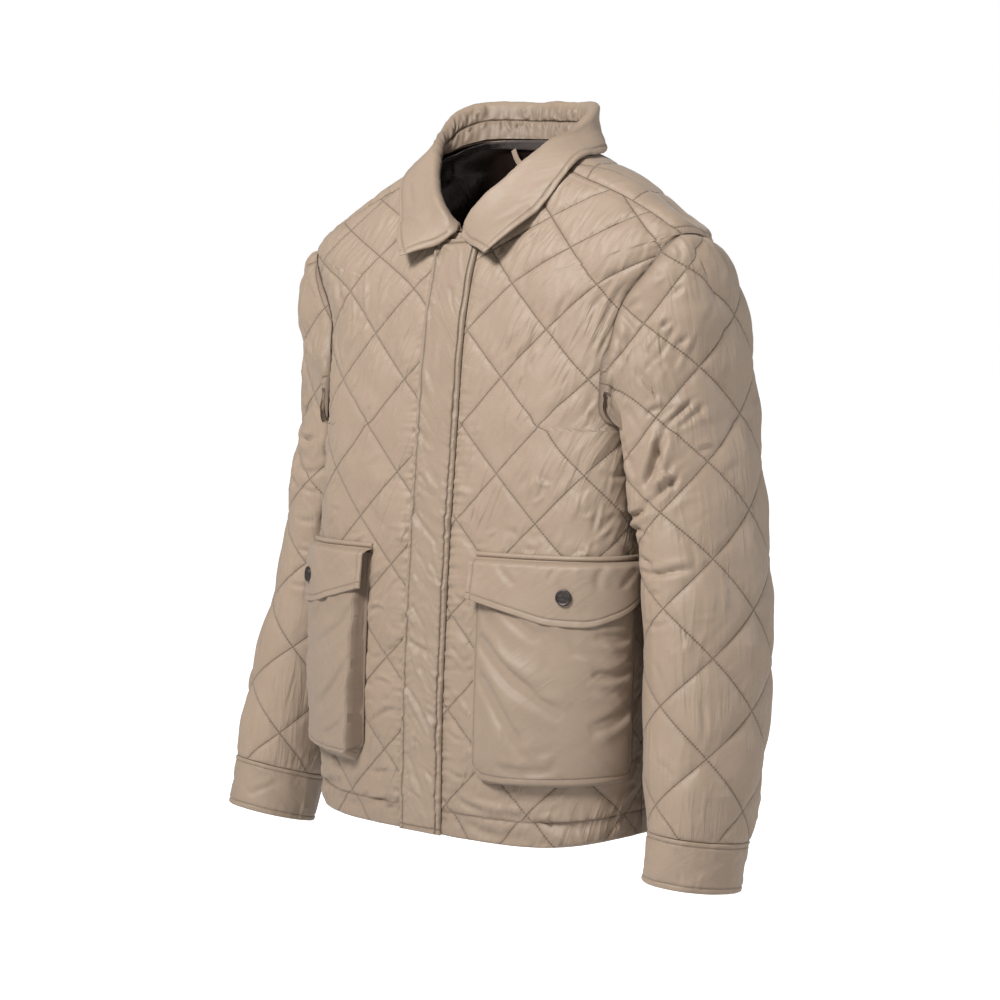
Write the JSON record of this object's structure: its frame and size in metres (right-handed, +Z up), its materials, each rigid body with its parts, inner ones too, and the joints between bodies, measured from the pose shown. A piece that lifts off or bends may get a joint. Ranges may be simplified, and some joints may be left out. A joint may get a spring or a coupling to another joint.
{
  "type": "quilted jacket",
  "caption": "Diamond-quilted field jacket with pointed collar, covered front closure and flapped patch pockets, filled out as worn and open at neck, hem and cuffs.",
  "frame": {"origin": "midway between the shoulders at the height of the neck's back edge, where the wearer's shoulders carry the jacket", "axes": "+X to the wearer's left, -Y to the wearer's front, +Z up"},
  "size_m": [0.6374, 0.2606, 0.762],
  "materials": {
    "quilted_cloth": "satin nylon shell quilted over wadding",
    "plain_cloth": "satin nylon",
    "lining": "smooth glossy lining",
    "tape": "matt woven tape",
    "snap": "gunmetal"
  },
  "bodies": {
    "root": {"back": "quilted_cloth", "collar_leaf": "plain_cloth", "collar_stand": "plain_cloth", "cuff_left": "plain_cloth", "cuff_right": "plain_cloth", "flap_left": "plain_cloth", "flap_right": "plain_cloth", "front_left": "quilted_cloth", "front_right": "quilted_cloth", "hanger_loop": "plain_cloth", "lining_back": "lining", "neck_tape": "tape", "placket": "plain_cloth", "pocket_left": "plain_cloth", "pocket_right": "plain_cloth", "sleeve_left": "quilted_cloth", "sleeve_right": "quilted_cloth", "snap_left": "snap", "snap_right": "snap"}
  },
  "joints": []
}
